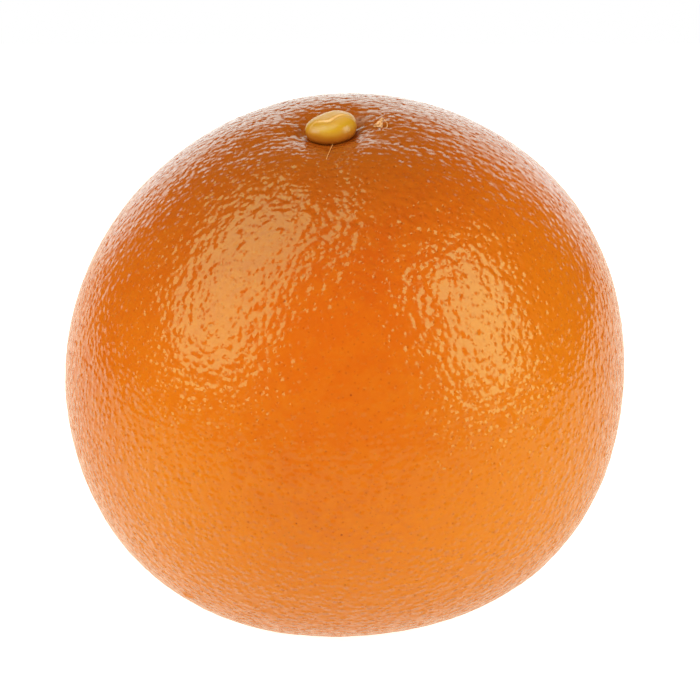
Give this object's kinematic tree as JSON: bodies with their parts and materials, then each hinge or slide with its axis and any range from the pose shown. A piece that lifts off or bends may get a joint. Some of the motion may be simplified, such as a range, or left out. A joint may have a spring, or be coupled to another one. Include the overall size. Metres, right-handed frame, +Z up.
{
  "type": "grapefruit",
  "caption": "Whole grapefruit with a glossy, pitted orange rind, resting on a small flat spot at its blossom end, with the dry yellow stem button still in its basin on top.",
  "frame": {"origin": "centre of the flat spot that the fruit rests on, right under the middle of the fruit", "axes": "+Z up towards the stem end, -Y out of the front of the fruit, +X towards its fuller right side"},
  "size_m": [0.1017, 0.1011, 0.0957],
  "materials": {
    "rind": "glossy waxed citrus rind, deep orange, closely pitted with oil glands, browner round the stem",
    "dry_stem": "dry yellow stem tissue, smooth and slightly waxy, browner at its foot",
    "dry_sepal": "dry tan sepal tissue, matt and fibrous"
  },
  "bodies": {
    "root": {"fruit": "rind", "stem_button": "dry_stem", "sepal_flake": "dry_sepal"}
  },
  "joints": []
}
